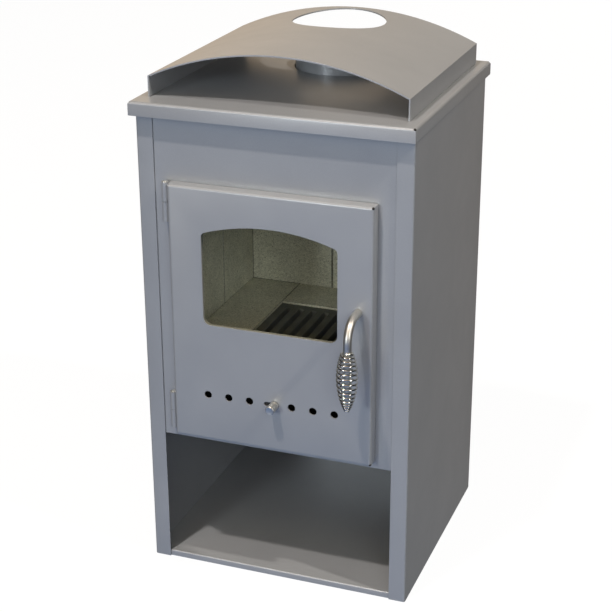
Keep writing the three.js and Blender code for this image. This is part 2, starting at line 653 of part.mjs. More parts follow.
function latchNut() {
  const seat = CAM.front + CAM.thickness + GAP;
  return hexNut(15, HANDLE.spindle + 0.35, seat, seat + 4).translate(HANDLE.x, 0, HANDLE.z);
}

// ---- assembly -------------------------------------------------------------------------------------------
add('left_side_panel', sidePanel(-1), GREY_PAINT);
add('right_side_panel', sidePanel(1), GREY_PAINT);
add('front_panel', frontPanel(), GREY_PAINT);
add('back_panel', backPanel(), GREY_PAINT);
add('top_plate', topPlate(), GREY_PAINT);
add('warming_cover', warmingCover(), GREY_PAINT);
add('flue_collar', flueCollar(), GREY_PAINT);

add('store_floor', storeFloor(), GREY_PAINT);
add('store_stiffener', storeStiffener(), INNER_STEEL);
add('store_ceiling', storeCeiling(), INNER_STEEL);

add('firebox_left_wall', fireboxSide(-1), INNER_STEEL);
add('firebox_right_wall', fireboxSide(1), INNER_STEEL);
add('firebox_back_wall', fireboxBack(), INNER_STEEL);
add('firebox_top', fireboxTop(), INNER_STEEL);
add('firebox_bottom', innerFloor(FIREBOX.floor, FIREBOX.floor + PLATE), INNER_STEEL);
add('hearth_plate', hearthPlate(), INNER_STEEL);
addBricks();
add('fire_grate', fireGrate(), CAST_IRON);
add('ash_pan', ashPan(), INNER_STEEL);
add('ash_pan_handle', ashPanHandle(), INNER_STEEL);
add('latch_keeper', latchKeeper(), INNER_STEEL);

add('door_skin', doorSkin(), GREY_PAINT);
add('door_liner', doorLiner(), INNER_STEEL);
add('door_rope_seal', ropeSeal(), ROPE_FIBRE);
add('window_gasket', gasket(), FIBRE);
add('window_glass', windowGlass(), GLASS_CERAMIC);
addRetainer('upper', GLASS.top, 1);
addRetainer('lower', GLASS.bottom, -1);

add('air_slide_plate', airSlidePlate(), INNER_STEEL);
add('air_slide_guide_upper', airSlideGuide(1), INNER_STEEL);
add('air_slide_guide_lower', airSlideGuide(-1), INNER_STEEL);
add('air_knob', airKnob(), BRIGHT_STEEL);
add('air_knob_nut', airKnobNut(), BRIGHT_STEEL);

addHinge('upper', HINGE.tops[0]);
addHinge('lower', HINGE.tops[1]);

add('handle_rod', handleRod(), BRIGHT_STEEL);
add('handle_spring_grip', springGrip(), SPRING_STEEL);
add('handle_bush', handleBush(), BRIGHT_STEEL);
add('latch_cam', latchCam(), BRIGHT_STEEL);
add('latch_nut', latchNut(), BRIGHT_STEEL);

export default stove;
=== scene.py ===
"""The looks of a small wood burning stove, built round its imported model.

Metres, +Z up. The stove stands on the floor at the origin. Its door faces -Y, with hinges on the -X side.
"""
import json
import math

import bmesh
import bpy
from mathutils import Matrix, Vector


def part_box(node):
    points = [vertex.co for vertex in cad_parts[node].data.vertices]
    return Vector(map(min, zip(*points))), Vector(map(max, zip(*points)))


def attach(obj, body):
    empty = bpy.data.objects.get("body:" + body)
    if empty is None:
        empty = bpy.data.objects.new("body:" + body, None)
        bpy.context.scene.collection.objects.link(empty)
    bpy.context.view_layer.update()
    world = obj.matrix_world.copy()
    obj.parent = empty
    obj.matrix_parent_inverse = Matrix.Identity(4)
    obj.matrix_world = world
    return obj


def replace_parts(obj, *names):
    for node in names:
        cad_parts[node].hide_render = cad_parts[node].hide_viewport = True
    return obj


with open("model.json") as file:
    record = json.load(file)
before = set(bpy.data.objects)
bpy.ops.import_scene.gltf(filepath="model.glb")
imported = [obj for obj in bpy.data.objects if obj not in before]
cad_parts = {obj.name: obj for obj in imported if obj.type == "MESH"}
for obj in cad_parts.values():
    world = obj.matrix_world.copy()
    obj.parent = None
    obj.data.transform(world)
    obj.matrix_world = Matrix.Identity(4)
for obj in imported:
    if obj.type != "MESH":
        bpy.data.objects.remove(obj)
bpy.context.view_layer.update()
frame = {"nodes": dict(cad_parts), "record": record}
NODES = frame["nodes"]
for plain_material in list(bpy.data.materials):
    bpy.data.materials.remove(plain_material)

MM = 0.001
QUARTER = math.pi / 2


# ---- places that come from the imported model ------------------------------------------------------
def centre(node):
    low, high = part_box(node)
    return (low + high) / 2


DOOR_LOW, DOOR_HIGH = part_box("door_skin")
DOOR_FACE = DOOR_LOW.y
ROD_LOW, ROD_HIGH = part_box("handle_rod")
KNOB_LOW, KNOB_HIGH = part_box("air_knob")
ROPE_LOW, ROPE_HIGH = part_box("door_rope_seal")
SIDE_LOW, SIDE_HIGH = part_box("right_side_panel")


# ---- node trees ----------------------------------------------------------------------------------
def add(tree, kind, inputs=None, **settings):
    """A new node. An input's value is a plain value, or another node's output, which is linked."""
    node = tree.nodes.new(kind)
    for name, value in settings.items():
        setattr(node, name, value)
    for name, value in (inputs or {}).items():
        if isinstance(value, bpy.types.NodeSocket):
            tree.links.new(value, node.inputs[name])
        else:
            node.inputs[name].default_value = value
    return node


def ramp(tree, factor, *stops):
    """A colour ramp. Each stop is a place and a grey level or a colour."""
    node = add(tree, "ShaderNodeValToRGB", {"Fac": factor})
    marks = node.color_ramp.elements
    while len(marks) < len(stops):
        marks.new(1.0)
    for mark, (place, colour) in zip(marks, stops):
        mark.position = place
        grey = isinstance(colour, (int, float))
        mark.color = (colour, colour, colour, 1) if grey else (*colour, 1)
    return node.outputs["Color"]


def stretched(tree, scale=(1, 1, 1), turn=(0, 0, 0)):
    """The object's own coordinates, in metres, stretched along its axes."""
    own = add(tree, "ShaderNodeTexCoord").outputs["Object"]
    inputs = {"Vector": own, "Scale": scale, "Rotation": turn}
    return add(tree, "ShaderNodeMapping", inputs).outputs["Vector"]


def noise(tree, per_metre, detail=2.0, roughness=0.5, vector=None):
    """Noise with so many blobs to the metre."""
    vector = vector or stretched(tree)
    inputs = {"Vector": vector, "Scale": per_metre, "Detail": detail, "Roughness": roughness}
    return add(tree, "ShaderNodeTexNoise", inputs).outputs["Fac"]


# The Mix node's sockets share their names between types, so they are reached by number.
MIX_FACTOR, MIX_FIRST, MIX_SECOND = 0, 6, 7
MIX_RESULT = 2


def mixed(tree, factor, first, second, blend="MIX"):
    """Two colours mixed or blended."""
    node = add(tree, "ShaderNodeMix", data_type="RGBA", blend_type=blend, clamp_result=True)
    for index, value in ((MIX_FACTOR, factor), (MIX_FIRST, first), (MIX_SECOND, second)):
        if isinstance(value, bpy.types.NodeSocket):
            tree.links.new(value, node.inputs[index])
        else:
            node.inputs[index].default_value = value if index == MIX_FACTOR else (*value, 1)
    return node.outputs[MIX_RESULT]


def maths(tree, operation, *values):
    """One step of arithmetic on numbers."""
    return add(tree, "ShaderNodeMath", dict(enumerate(values)), operation=operation).outputs[0]


def vector_maths(tree, operation, result, inputs):
    """One step of arithmetic on vectors. The result is the name of the output."""
    return add(tree, "ShaderNodeVectorMath", inputs, operation=operation).outputs[result]


def bumped(tree, height, distance, strength=1.0, below=None):
    """The normal over a height, on top of the normal below it where one is given."""
    inputs = {"Height": height, "Distance": distance, "Strength": strength}
    if below is not None:
        inputs["Normal"] = below
    return add(tree, "ShaderNodeBump", inputs).outputs["Normal"]


def between(tree, factor, low, high):
    """A number that runs from low to high as the factor runs from 0 to 1."""
    inputs = {"Value": factor, "To Min": low, "To Max": high}
    return add(tree, "ShaderNodeMapRange", inputs).outputs["Result"]


def material(name, constant, linked):
    """A Principled material. The linked part is a function of the tree that gives the sockets' outputs."""
    made = bpy.data.materials.new(name)
    made.use_nodes = True
    tree = made.node_tree
    shader = tree.nodes["Principled BSDF"]
    for socket, value in constant.items():
        shader.inputs[socket].default_value = value
    for socket, output in linked(tree).items():
        tree.links.new(output, shader.inputs[socket])
    return made


# ---- materials -----------------------------------------------------------------------------------
def grey_paint():
    """Baked-on satin paint: slight clouding, a fine metallic fleck, orange peel and a faint waviness."""
    def linked(tree):
        clouds = noise(tree, 9, 3)
        fleck = noise(tree, 2600, 1)
        base = ramp(tree, clouds, (0.3, (0.335, 0.345, 0.362)), (0.7, (0.362, 0.372, 0.388)))
        shade = ramp(tree, fleck, (0.25, 0.86), (0.75, 1.0))
        wave = bumped(tree, noise(tree, 14, 1), 0.3 * MM, 0.35)
        peel = bumped(tree, noise(tree, 900, 2), 0.02 * MM, 0.6, wave)
        return {
            "Base Color": mixed(tree, 1.0, base, shade, "MULTIPLY"),
            "Roughness": between(tree, noise(tree, 30, 4, 0.6), 0.33, 0.45),
            "Normal": peel,
        }
    constant = {"Metallic": 0.22, "Specular IOR Level": 0.5}
    coat = {"Coat Weight": 0.32, "Coat Roughness": 0.24, "Coat IOR": 1.5}
    return material("grey_paint", {**constant, **coat}, linked)


def firebox_steel():
    """Bare plate, darkened by heat: rolled streaks, blotches and a little rust brown."""
    def linked(tree):
        blotch = noise(tree, 22, 6, 0.62)
        streak = noise(tree, 120, 4, 0.6, stretched(tree, (1, 1, 0.06)))
        base = ramp(
            tree, blotch, (0.3, (0.026, 0.025, 0.024)), (0.55, (0.046, 0.044, 0.042)),
            (0.75, (0.052, 0.042, 0.034)))
        shade = ramp(tree, streak, (0.3, 0.75), (0.7, 1.0))
        return {
            "Base Color": mixed(tree, 1.0, base, shade, "MULTIPLY"),
            "Roughness": between(tree, blotch, 0.45, 0.75),
            "Normal": bumped(tree, streak, 0.06 * MM, 0.5),
        }
    return material("firebox_steel", {"Metallic": 0.55}, linked)


def box_edge_shade(tree, share):
    """A mask for painted shade: one along the edges of an object's box, and none elsewhere. The share is
    the width of the edge.
    """
    own = add(tree, "ShaderNodeTexCoord").outputs["Generated"]
    parts = add(tree, "ShaderNodeSeparateXYZ", {"Vector": own})
    near = []
    for axis in "XYZ":
        away = maths(tree, "ABSOLUTE", maths(tree, "SUBTRACT", parts.outputs[axis], 0.5))
        limits = {"Value": away, "From Min": 0.5 - share, "From Max": 0.5 - share / 2}
        near.append(add(tree, "ShaderNodeMapRange", limits).outputs["Result"])
    total = None
    for first, second in ((0, 1), (1, 2), (2, 0)):
        both = maths(tree, "MULTIPLY", near[first], near[second])
        total = both if total is None else maths(tree, "MAXIMUM", total, both)
    return total


def vermiculite():
    """Pressed mineral board: pale flakes in a darker binder, pitted all over, with painted shade along its
    edges, where boards meet in joints and corners.
    """
    def linked(tree):
        vector = stretched(tree)
        flakes = add(tree, "ShaderNodeTexVoronoi", {"Vector": vector, "Scale": 620.0, "Randomness": 1.0})
        grit = noise(tree, 1500, 3, 0.7, vector)
        clouds = noise(tree, 26, 4, 0.6, vector)
        tone = add(tree, "ShaderNodeSeparateColor", {"Color": flakes.outputs["Color"]}).outputs["Red"]
        base = ramp(
            tree, tone, (0.0, (0.46, 0.44, 0.34)), (0.22, (0.67, 0.645, 0.5)),
            (0.7, (0.75, 0.725, 0.575)), (0.93, (0.87, 0.835, 0.665)))
        shade = ramp(tree, grit, (0.34, 0.68), (0.62, 1.0))
        cloud = ramp(tree, clouds, (0.3, 0.84), (0.7, 1.0))
        speckled = mixed(tree, 1.0, base, shade, "MULTIPLY")
        pits = bumped(tree, flakes.outputs["Distance"], 0.5 * MM, 0.5)
        board = mixed(tree, 1.0, speckled, cloud, "MULTIPLY")
        return {
            # Painted shade: the board turns near black along the edges of its box, for the shade in the
            # joints and corners between boards.
            "Base Color": mixed(tree, box_edge_shade(tree, 0.009), board, (0.05, 0.048, 0.04)),
            "Normal": bumped(tree, grit, 0.35 * MM, 0.5, pits),
        }
    return material("vermiculite", {"Roughness": 0.92, "Specular IOR Level": 0.3}, linked)


def cast_iron():
    """Sand-cast iron, dry and sooty."""
    def linked(tree):
        sand = noise(tree, 800, 4, 0.65)
        soot = noise(tree, 40, 4, 0.6)
        return {
            "Base Color": ramp(tree, soot, (0.3, (0.115, 0.115, 0.092)), (0.7, (0.175, 0.175, 0.14))),
            "Roughness": between(tree, soot, 0.55, 0.8),
            "Normal": bumped(tree, sand, 0.3 * MM, 0.7),
        }
    return material("cast_iron", {"Metallic": 0.3}, linked)


def satin_steel():
    """Turned bright steel with fine tool marks."""
    def linked(tree):
        marks = noise(tree, 3000, 2, 0.5, stretched(tree, (0.12, 1, 1)))
        clouds = noise(tree, 60, 3)
        return {
            "Base Color": ramp(tree, clouds, (0.3, (0.57, 0.56, 0.525)), (0.7, (0.65, 0.64, 0.6))),
            "Roughness": between(tree, marks, 0.36, 0.48),
            "Normal": bumped(tree, marks, 0.01 * MM, 0.4),
        }
    return material("satin_steel", {"Metallic": 1.0}, linked)


def spring_steel():
    """Bright plated spring wire."""
    def linked(tree):
        clouds = noise(tree, 500, 3)
        return {
            "Base Color": ramp(tree, clouds, (0.3, (0.64, 0.625, 0.59)), (0.7, (0.72, 0.705, 0.665))),
            "Roughness": between(tree, clouds, 0.09, 0.16),
        }
    return material("spring_steel", {"Metallic": 1.0}, linked)


def woven(name, light, dark, per_metre):
    """Glass-fibre tape or rope: two crossing sets of threads and loose fibre."""
    def linked(tree):
        waves = []
        for direction in ("X", "Z"):
            inputs = {"Vector": stretched(tree), "Scale": per_metre, "Distortion": 0.6, "Detail": 1.0}
            wave = add(tree, "ShaderNodeTexWave", inputs, wave_type="BANDS", bands_direction=direction)
            waves.append(wave.outputs["Color"])
        weave = mixed(tree, 0.5, *waves)
        fibre = noise(tree, 4000, 3, 0.7)
        base = ramp(tree, weave, (0.2, dark), (0.8, light))
        shade = ramp(tree, fibre, (0.3, 0.75), (0.7, 1.0))
        return {
            "Base Color": mixed(tree, 1.0, base, shade, "MULTIPLY"),
            "Normal": bumped(tree, weave, 0.25 * MM, 0.8),
        }
    return material(name, {"Roughness": 0.95, "Sheen Weight": 0.15, "Specular IOR Level": 0.2}, linked)


def ceramic_glass():
    """Clear glass that lets the lamps through, with the faintest haze."""
    made = bpy.data.materials.new("ceramic_glass")
    made.use_nodes = True
    tree = made.node_tree
    tree.nodes.remove(tree.nodes["Principled BSDF"])
    smear = noise(tree, 18, 5, 0.6)
    mirror = add(tree, "ShaderNodeBsdfGlossy", {"Roughness": between(tree, smear, 0.01, 0.09)})
    clear = add(tree, "ShaderNodeBsdfTransparent", {"Color": (0.985, 0.99, 0.98, 1)})
    fresnel = add(tree, "ShaderNodeFresnel", {"IOR": 1.13})
    mix = {0: fresnel.outputs[0], 1: clear.outputs[0], 2: mirror.outputs[0]}
    pane = add(tree, "ShaderNodeMixShader", mix)
    shadow = add(tree, "ShaderNodeLightPath").outputs["Is Shadow Ray"]
    through = add(tree, "ShaderNodeMixShader", {0: shadow, 1: pane.outputs[0], 2: clear.outputs[0]})
    tree.links.new(through.outputs[0], tree.nodes["Material Output"].inputs["Surface"])
    return made


MATERIALS = {
    "grey_paint": grey_paint(),
    "firebox_steel": firebox_steel(),
    "vermiculite": vermiculite(),
    "cast_iron": cast_iron(),
    "satin_steel": satin_steel(),
    "spring_steel": spring_steel(),
    "gasket_fibre": woven("gasket_fibre", (0.17, 0.165, 0.115), (0.1, 0.097, 0.07), 700),
    "rope_fibre": woven("rope_fibre", (0.09, 0.088, 0.082), (0.035, 0.034, 0.032), 900),
    "ceramic_glass": ceramic_glass(),
}


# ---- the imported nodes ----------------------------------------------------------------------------
# How far the edges of each slot's nodes are broken, in mm.
EDGE = {
    "grey_paint": 0.45, "firebox_steel": 0.35, "vermiculite": 0.5, "cast_iron": 0.9, "satin_steel": 0.3,
    "spring_steel": 0.3, "gasket_fibre": 0.6, "rope_fibre": 0.6, "ceramic_glass": 0.3,
}
SOFT_ANGLE = math.radians(35)
WELD_GAP = 0.002 * MM
FLAT_ANGLE = math.radians(0.4)


def finish_node(node, slot):
    """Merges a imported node's flat faces, breaks its sharp edges and gives it its material."""
    mesh = node.data
    for name in ("custom_normal", "sharp_face", "sharp_edge"):
        if name in mesh.attributes:
            mesh.attributes.remove(mesh.attributes[name])
    weld = node.modifiers.new("weld", "WELD")
    weld.merge_threshold = WELD_GAP
    flat = node.modifiers.new("flat_faces", "DECIMATE")
    flat.decimate_type = "DISSOLVE"
    flat.angle_limit = FLAT_ANGLE
    bevel = node.modifiers.new("broken_edges", "BEVEL")
    bevel.width = EDGE[slot] * MM
    bevel.segments = 2
    bevel.limit_method = "ANGLE"
    bevel.angle_limit = SOFT_ANGLE
    bevel.harden_normals = True
    mesh.materials.clear()
    mesh.materials.append(MATERIALS[slot])


for part in frame["record"]["subparts"]:
    finish_node(NODES[part["node"]], part["material_slot"])


# ---- mesh pieces ---------------------------------------------------------------------------------
def piece(name, rings, body, slot, closed_path=False):
    """A smooth skin over rings of points, with flat ends unless the rings run round a closed path."""
    mesh = bpy.data.meshes.new(name)
    shape = bmesh.new()
    rows = [[shape.verts.new(point) for point in ring] for ring in rings]
    count = len(rows[0])
    for level in range(len(rows) if closed_path else len(rows) - 1):
        lower, upper = rows[level], rows[(level + 1) % len(rows)]
        for i in range(count):
            after = (i + 1) % count
            shape.faces.new((lower[i], lower[after], upper[after], upper[i]))
    if not closed_path:
        shape.faces.new(rows[0])
        shape.faces.new(rows[-1])
    bmesh.ops.recalc_face_normals(shape, faces=shape.faces)
    for face in shape.faces:
        face.smooth = True
    shape.to_mesh(mesh)
    shape.free()
    mesh.set_sharp_from_angle(angle=SOFT_ANGLE)
    made = bpy.data.objects.new(name, mesh)
    bpy.context.scene.collection.objects.link(made)
    mesh.materials.append(MATERIALS[slot])
    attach(made, body)
    return made


def along(path, section, closed_path=False):
    """The rings of a section swept along a path. The section is a function of the ring's number."""
    count = len(path)
    rings = []
    side = None
    for i, point in enumerate(path):
        before = path[i - 1] if closed_path or i else path[i]
        after = path[(i + 1) % count] if closed_path or i + 1 < count else path[i]
        forward = (after - before).normalized()
        if side is None:
            side = forward.orthogonal()
        side = (side - forward * side.dot(forward)).normalized()
        up = forward.cross(side)
        rings.append([point + side * a + up * b for a, b in section(i)])
    return rings


def circle(radius, sides):
    """Points round a circle, as pairs."""
    angles = [2 * math.pi * i / sides for i in range(sides)]
    return [(radius * math.cos(angle), radius * math.sin(angle)) for angle in angles]


# The smallest ring, in mm, so that a turned end never shrinks to a point.
TIP = 0.02


def turned(profile, sides, origin, axis):
    """The rings of a shape turned about an axis. The profile gives radius and distance along it, in mm."""
    axis = Vector(axis).normalized()
    side = axis.orthogonal().normalized()
    up = axis.cross(side)
    rings = []
    for radius, distance in profile:
        middle = Vector(origin) + axis * distance * MM
        rings.append([middle + (side * a + up * b) * MM for a, b in circle(max(radius, TIP), sides)])
    return rings


# ---- handle --------------------------------------------------------------------------------------
ROD = 6 * MM
BEND = 29 * MM
SPINDLE = 5 * MM
CHAMFER = 0.5 * MM
SPINDLE_CHAMFER = 0.6 * MM
SHOULDER_GAP = 0.3 * MM
SHOULDER_STEP = 0.01 * MM


def handle_rod():
    """The bent rod and, behind it, the thinner spindle through the door."""
    x = centre("handle_rod").x
    top = ROD_HIGH.z - ROD
    reach = ROD_LOW.y + ROD
    shoulder = DOOR_FACE - SHOULDER_GAP
    path = []
    radii = []
    for y, radius in (
        (ROD_HIGH.y, SPINDLE - SPINDLE_CHAMFER),
        (ROD_HIGH.y - SPINDLE_CHAMFER, SPINDLE),
        (shoulder, SPINDLE),
        (shoulder - SHOULDER_STEP, ROD - CHAMFER),
        (shoulder - CHAMFER, ROD),
    ):
        path.append(Vector((x, y, top)))
        radii.append(radius)
    steps = 22
    for i in range(steps + 1):
        turn = QUARTER * i / steps
        y = reach + BEND - BEND * math.sin(turn)
        z = top - BEND + BEND * math.cos(turn)
        path.append(Vector((x, y, z)))
        radii.append(ROD)
    for rise, radius in ((1.2, ROD), (0.3, ROD - CHAMFER), (0, ROD - 1.2 * MM)):
        path.append(Vector((x, reach, ROD_LOW.z + rise * MM)))
        radii.append(radius)
    rings = along(path, lambda i: circle(radii[i], 32))
    return piece("handle_rod_turned", rings, "handle", "satin_steel")


WIRE = 2.8 * MM
COILS = 15.3
GRIP_UP, GRIP_DOWN = 75 * MM, 15.5 * MM
GRIP_TOP, GRIP_TAPER, GRIP_BULGE = 7.8, 4.8, 10
# The coils are closer together at both ends than in the middle, and a little closer below than above.
ENDS_CLOSER, BELOW_CLOSER = 0.0446, 0.15
COIL_STEPS = 44


def grip_radius(share):
    """Outer radius of the coil, at a share of the way down it."""
    return (GRIP_TOP - GRIP_TAPER * share + GRIP_BULGE * math.sin(math.pi * share) ** 0.7) * MM


def spring_coil():
    """The coiled grip: one wire, wide in the middle, tight on the rod above and closed below."""
    x = centre("handle_spring_grip").x
    y = ROD_LOW.y + ROD
    top, bottom = ROD_LOW.z + GRIP_UP, ROD_LOW.z - GRIP_DOWN
    steps = int(COILS * COIL_STEPS)
    path = []
    for i in range(steps + 1):
        turn = i / steps
        share = turn - ENDS_CLOSER * math.sin(2 * math.pi * turn) + BELOW_CLOSER * (turn - turn * turn)
        z = top - WIRE / 2 - share * (top - bottom - WIRE)
        outer = grip_radius(min(max(share, 0.0), 1.0))
        if z > ROD_LOW.z:
            outer = max(outer, ROD + WIRE + 0.05 * MM)
        angle = 2 * math.pi * COILS * turn - QUARTER
        radius = max(outer - WIRE / 2, 1.2 * MM)
        path.append(Vector((x + radius * math.cos(angle), y + radius * math.sin(angle), z)))

    def section(i):
        end = min(i, steps - i)
        return circle(WIRE / 2 * min(1.0, 0.55 + 0.15 * end), 14)
    return piece("handle_spring_coil", along(path, section), "handle", "spring_steel")


# ---- air knob ------------------------------------------------------------------------------------
KNOB_STEM = 2.8
GROOVE = 0.35


def air_knob():
    """A turned knob with a chamfer, a faint dish in its end, and its stem through the slot."""
    middle = centre("air_knob")
    radius = (KNOB_HIGH.x - KNOB_LOW.x) / 2 / MM
    length = (KNOB_HIGH.y - KNOB_LOW.y) / MM
    shoulder = (DOOR_FACE - KNOB_LOW.y) / MM - 0.6
    dish = [(0, 0.35), (2.2, 0.32), (radius - 1.5, 0.1)]
    chamfer = [(radius - 1.1, 0), (radius - 0.9, 0.05), (radius - 0.06, 0.86), (radius, 1.05)]
    groove = [
        (radius, shoulder - 4.6), (radius - GROOVE, shoulder - 4.3),
        (radius - GROOVE, shoulder - 3.9), (radius, shoulder - 3.6),
    ]
    foot = [(radius, shoulder - 0.4), (radius - 0.4, shoulder), (KNOB_STEM, shoulder)]
    stem = [(KNOB_STEM, length - 0.3), (KNOB_STEM - 0.3, length), (0, length)]
    profile = dish + chamfer + groove + foot + stem
    rings = turned(profile, 48, (middle.x, KNOB_LOW.y, middle.z), (0, 1, 0))
    return piece("air_knob_turned", rings, "air_slide", "satin_steel")


# ---- rope seal -----------------------------------------------------------------------------------
ROPE_WIDTH = 7.2 * MM
ROPE_CORNER = 7 * MM
ROPE_STEP = 1.3 * MM
STITCH = 2 * math.pi / 5


def rounded_loop(low_x, high_x, low_z, high_z, corner, step):
    """Points round a rounded rectangle, in x and z, evenly spaced."""
    corners = []
    for cx, cz, start in (
        (high_x - corner, low_z + corner, -QUARTER), (high_x - corner, high_z - corner, 0),
        (low_x + corner, high_z - corner, QUARTER), (low_x + corner, low_z + corner, 2 * QUARTER),
    ):
        for i in range(9):
            angle = start + QUARTER * i / 8
            corners.append(Vector((cx + corner * math.cos(angle), cz + corner * math.sin(angle))))
    points = []
    for i, point in enumerate(corners):
        after = corners[(i + 1) % len(corners)]
        count = max(1, round((after - point).length / step))
        points += [point.lerp(after, k / count) for k in range(count)]
    return points


def squarish(share):
    """Pushes a sine or cosine outwards, so that a round section looks pressed into a channel."""
    return math.copysign(abs(share) ** 0.7, share)


def rope_seal():
    """Knitted rope, pressed into its channel: a flattened section with strands that cross round it."""
    depth = (ROPE_HIGH.y - ROPE_LOW.y) - 0.4 * MM
    inset = 0.1 * MM + ROPE_WIDTH / 2
    y = (ROPE_LOW.y + ROPE_HIGH.y) / 2
    loop = rounded_loop(
        ROPE_LOW.x + inset, ROPE_HIGH.x - inset, ROPE_LOW.z + inset, ROPE_HIGH.z - inset,
        ROPE_CORNER, ROPE_STEP)
    sides = 20
    count = len(loop)
    rings = []
    for i, point in enumerate(loop):
        ahead = (loop[(i + 1) % count] - loop[i - 1]).normalized()
        outward = Vector((ahead.y, -ahead.x))
        ring = []
        for k in range(sides):
            angle = 2 * math.pi * k / sides
            strand = math.cos(i * STITCH + 3 * angle) * math.cos(i * STITCH - 3 * angle)
            size = 0.93 + 0.07 * strand
            across = size * ROPE_WIDTH / 2 * squarish(math.cos(angle))
            deep = size * depth / 2 * squarish(math.sin(angle))
            ring.append(Vector((point.x + outward.x * across, y + deep, point.y + outward.y * across)))
        rings.append(ring)
    return piece("door_rope_braid", rings, "door", "rope_fibre", closed_path=True)


# ---- fasteners on the back -----------------------------------------------------------------------
# Radius and distance from the plate, in mm.
WASHER = ((0, 0.05), (4.6, 0.05), (4.6, 0.6), (4.2, 0.95), (3.4, 1.05), (0, 1.05))
HEXAGON_HEAD = ((0, 1.0), (3.55, 1.0), (3.55, 3.1), (3.1, 3.5), (1.9, 3.5), (1.6, 3.1), (0, 3.1))
SCREW_ROWS = 5
SCREW_FROM_END = 45 * MM
SCREW_FROM_SIDE = 8 * MM
HEXAGON_ANGLE = math.radians(20)
HEXAGON_EDGE = 0.2 * MM


def back_screws():
    """Self-tapping screws through the side panels' rear flanges: a washer face and a hexagon head."""
    low, high = SIDE_LOW.z + SCREW_FROM_END, SIDE_HIGH.z - SCREW_FROM_END
    for side, x in (("left", -SIDE_HIGH.x + SCREW_FROM_SIDE), ("right", SIDE_HIGH.x - SCREW_FROM_SIDE)):
        for row in range(SCREW_ROWS):
            z = low + (high - low) * row / (SCREW_ROWS - 1)
            place = (x, SIDE_HIGH.y, z)
            which = f"{side}_{row + 1}"
            washer = turned(WASHER, 24, place, (0, 1, 0))
            piece(f"back_screw_washer_{which}", washer, "stove", "satin_steel")
            head = turned(HEXAGON_HEAD, 6, place, (0, 1, 0))
            hexagon = piece(f"back_screw_head_{which}", head, "stove", "satin_steel")
            hexagon.data.set_sharp_from_angle(angle=HEXAGON_ANGLE)
            bevel = hexagon.modifiers.new("broken_edges", "BEVEL")
            bevel.width = HEXAGON_EDGE
            bevel.segments = 2


# ---- weld beads ----------------------------------------------------------------------------------
RIPPLE_STEP = 0.35 * MM
BEAD_RADIUS = 1.1 * MM
BEAD_SIDE = 2.6 * MM
BEAD_RISE = 0.6 * MM
BEAD_SHORTER = 3 * MM


def weld_bead(name, start, end, radius, body):
    """A short fillet weld: overlapping ripples along a line."""
    start, end = Vector(start), Vector(end)
    steps = max(12, int((end - start).length / RIPPLE_STEP))
    path = [start.lerp(end, i / steps) for i in range(steps + 1)]

    def section(i):
        taper = min(1.0, 0.35 + 0.16 * min(i, steps - i))
        return circle(radius * taper * (1 + 0.12 * math.sin(i * 1.15)), 10)
    return piece(name, along(path, section), body, "grey_paint")


def hinge_welds():
    """A bead on each side of both frame knuckles, where they meet the front panel."""
    for which in ("upper", "lower"):
        low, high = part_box(f"hinge_{which}_frame_knuckle")
        x = centre(f"hinge_{which}_pin").x
        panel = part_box("front_panel")[0].y
        for side, offset in (("left", -BEAD_SIDE), ("right", BEAD_SIDE)):
            foot = (x + offset, panel - BEAD_RISE)
            start = (*foot, low.z + BEAD_SHORTER)
            end = (*foot, high.z - BEAD_SHORTER)
            weld_bead(f"hinge_{which}_weld_{side}", start, end, BEAD_RADIUS, "stove")


# ---- corner reliefs ------------------------------------------------------------------------------
# Radius of the relief, and the gap between it and the sheets' outer faces, in mm.
RELIEF = 2
RELIEF_GAP = 0.05


def half_circle(radius, steps):
    """The profile of a ball, as radius and distance along the axis."""
    angles = [math.pi * i / steps for i in range(steps + 1)]
    return [(radius * math.sin(angle), -radius * math.cos(angle)) for angle in angles]


def corner_reliefs():
    """Dark balls that paint the shade inside the relief holes where folds meet, on the right-hand corners
    of top and door.
    """
    top_low, top_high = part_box("top_plate")
    corners = {
        "top": ("stove", top_high.x, top_low.y, top_high.z, -1),
        "door_upper": ("door", DOOR_HIGH.x, DOOR_LOW.y, DOOR_HIGH.z, -1),
        "door_lower": ("door", DOOR_HIGH.x, DOOR_LOW.y, DOOR_LOW.z, 1),
    }
    inset = (RELIEF + RELIEF_GAP) * MM
    for name, (body, x, y, z, upward) in corners.items():
        middle = Vector((x - inset, y + inset, z + upward * inset))
        rings = turned(half_circle(RELIEF, 8), 16, middle, (1, -1, -upward))
        # The balls use the dark firebox steel as painted shade: the inside of a hole is dark only because
        # little light reaches it.
        piece(f"corner_relief_{name}", rings, body, "firebox_steel")


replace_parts(handle_rod(), "handle_rod")
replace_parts(spring_coil(), "handle_spring_grip")
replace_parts(air_knob(), "air_knob")
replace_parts(rope_seal(), "door_rope_seal")
back_screws()
hinge_welds()
corner_reliefs()


# ---- camera --------------------------------------------------------------------------------------
CAMERA_PLACE = Vector((0.72612, -1.99768, 1.2514))
CAMERA_YAW = -0.3565
CAMERA_PITCH = 0.3922
CAMERA_ROLL = -0.0041
CAMERA_LENS = 89.5
CAMERA_SHIFT = (-0.0020, -0.0034)


